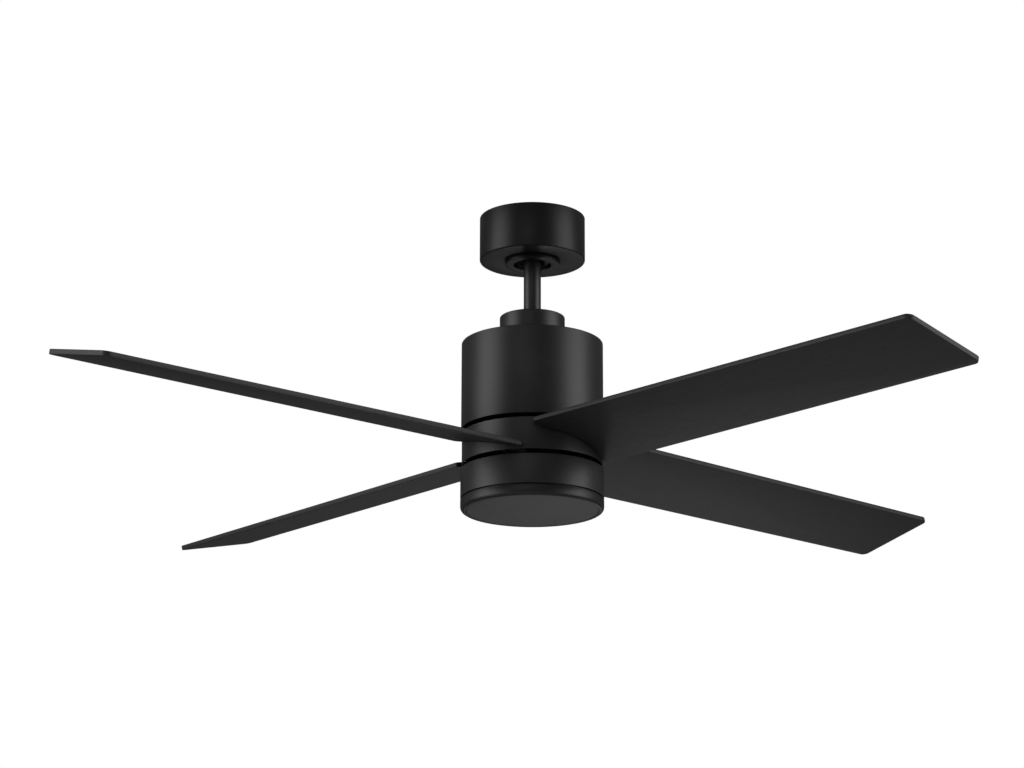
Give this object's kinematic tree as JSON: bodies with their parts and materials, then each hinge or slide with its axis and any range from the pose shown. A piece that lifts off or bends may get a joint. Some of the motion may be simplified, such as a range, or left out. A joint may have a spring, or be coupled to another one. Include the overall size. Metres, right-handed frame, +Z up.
{
  "type": "ceiling fan with light",
  "caption": "Matt black ceiling fan on a short downrod, with flat pitched blades in a turning hub band and a drum light closed by a dark twist-off cover.",
  "frame": {"origin": "middle of the hanger bracket's top face, in the ceiling plane, on the fan's axis", "axes": "+Z up along the fan's axis, +X along blade 1"},
  "size_m": [1.3212, 1.3212, 0.3776],
  "materials": {
    "black_paint": "fine matt black powder coat on pressed steel",
    "blade_finish": "matt black lacquer on thin plywood",
    "smoked_cover": "dark smoked matt cover",
    "black_plastic": "moulded black nylon",
    "cast_aluminium": "as cast, machined on its seats",
    "machined_steel": "turned and ground steel",
    "zinc_steel": "bright zinc plate",
    "ferrite": "dark sintered ferrite",
    "copper_winding": "varnished copper wire",
    "white_board": "white solder mask"
  },
  "bodies": {
    "ceiling_mount": {"hanger_bracket": "zinc_steel", "canopy": "black_paint", "canopy_ring": "black_paint", "canopy_screw_1": "zinc_steel", "canopy_screw_2": "zinc_steel", "remote_receiver": "black_plastic"},
    "swing_liner": {"socket_liner": "black_plastic"},
    "hanger": {"hanger_ball": "black_plastic", "ball_pin": "zinc_steel", "ball_set_screw": "zinc_steel", "downrod": "black_paint", "yoke": "cast_aluminium", "yoke_pin": "zinc_steel", "yoke_pin_clip": "zinc_steel", "yoke_set_screw_1": "zinc_steel", "yoke_set_screw_2": "zinc_steel", "yoke_cover": "black_paint", "upper_housing": "black_paint", "housing_screw_1": "zinc_steel", "housing_screw_2": "zinc_steel", "housing_screw_3": "zinc_steel", "motor_shaft": "machined_steel", "lead_bundle": "black_plastic", "stator_core": "machined_steel", "winding_upper": "copper_winding", "winding_lower": "copper_winding", "light_plate": "zinc_steel", "shaft_nut": "zinc_steel", "light_pan": "black_paint", "pan_screw_1": "zinc_steel", "pan_screw_2": "zinc_steel", "pan_screw_3": "zinc_steel", "led_driver": "black_plastic", "light_tray": "cast_aluminium", "led_board": "white_board"},
    "rotor": {"rotor_cup": "cast_aluminium", "magnet_ring": "ferrite", "rotor_base": "cast_aluminium", "bearing_lower": "zinc_steel", "bearing_upper": "zinc_steel", "blade_hub": "cast_aluminium", "hub_band": "black_paint", "band_screw_1": "zinc_steel", "band_screw_2": "zinc_steel", "band_screw_3": "zinc_steel", "blade_1": "blade_finish", "blade_2": "blade_finish", "blade_3": "blade_finish", "blade_4": "blade_finish", "blade_screw_1a": "zinc_steel", "blade_screw_1b": "zinc_steel", "blade_screw_2a": "zinc_steel", "blade_screw_2b": "zinc_steel", "blade_screw_3a": "zinc_steel", "blade_screw_3b": "zinc_steel", "blade_screw_4a": "zinc_steel", "blade_screw_4b": "zinc_steel"},
    "light_bezel": {"bezel": "black_paint", "light_cover": "smoked_cover"}
  },
  "joints": [
    {"name": "swing_x", "type": "hinge", "parent": "ceiling_mount", "child": "swing_liner", "pos_m": [0, 0, -0.034], "axis": [1, 0, 0], "range_deg": [-13, 13]},
    {"name": "swing_y", "type": "hinge", "parent": "swing_liner", "child": "hanger", "pos_m": [0, 0, -0.034], "axis": [0, 1, 0], "range_deg": [-13, 13]},
    {"name": "rotor_spin", "type": "hinge", "parent": "hanger", "child": "rotor", "pos_m": [0, 0, -0.298], "axis": [0, 0, 1], "continuous": true},
    {"name": "bezel_twist", "type": "hinge", "parent": "hanger", "child": "light_bezel", "pos_m": [0, 0, -0.368], "axis": [0, 0, 1], "range_deg": [0, 20]}
  ]
}
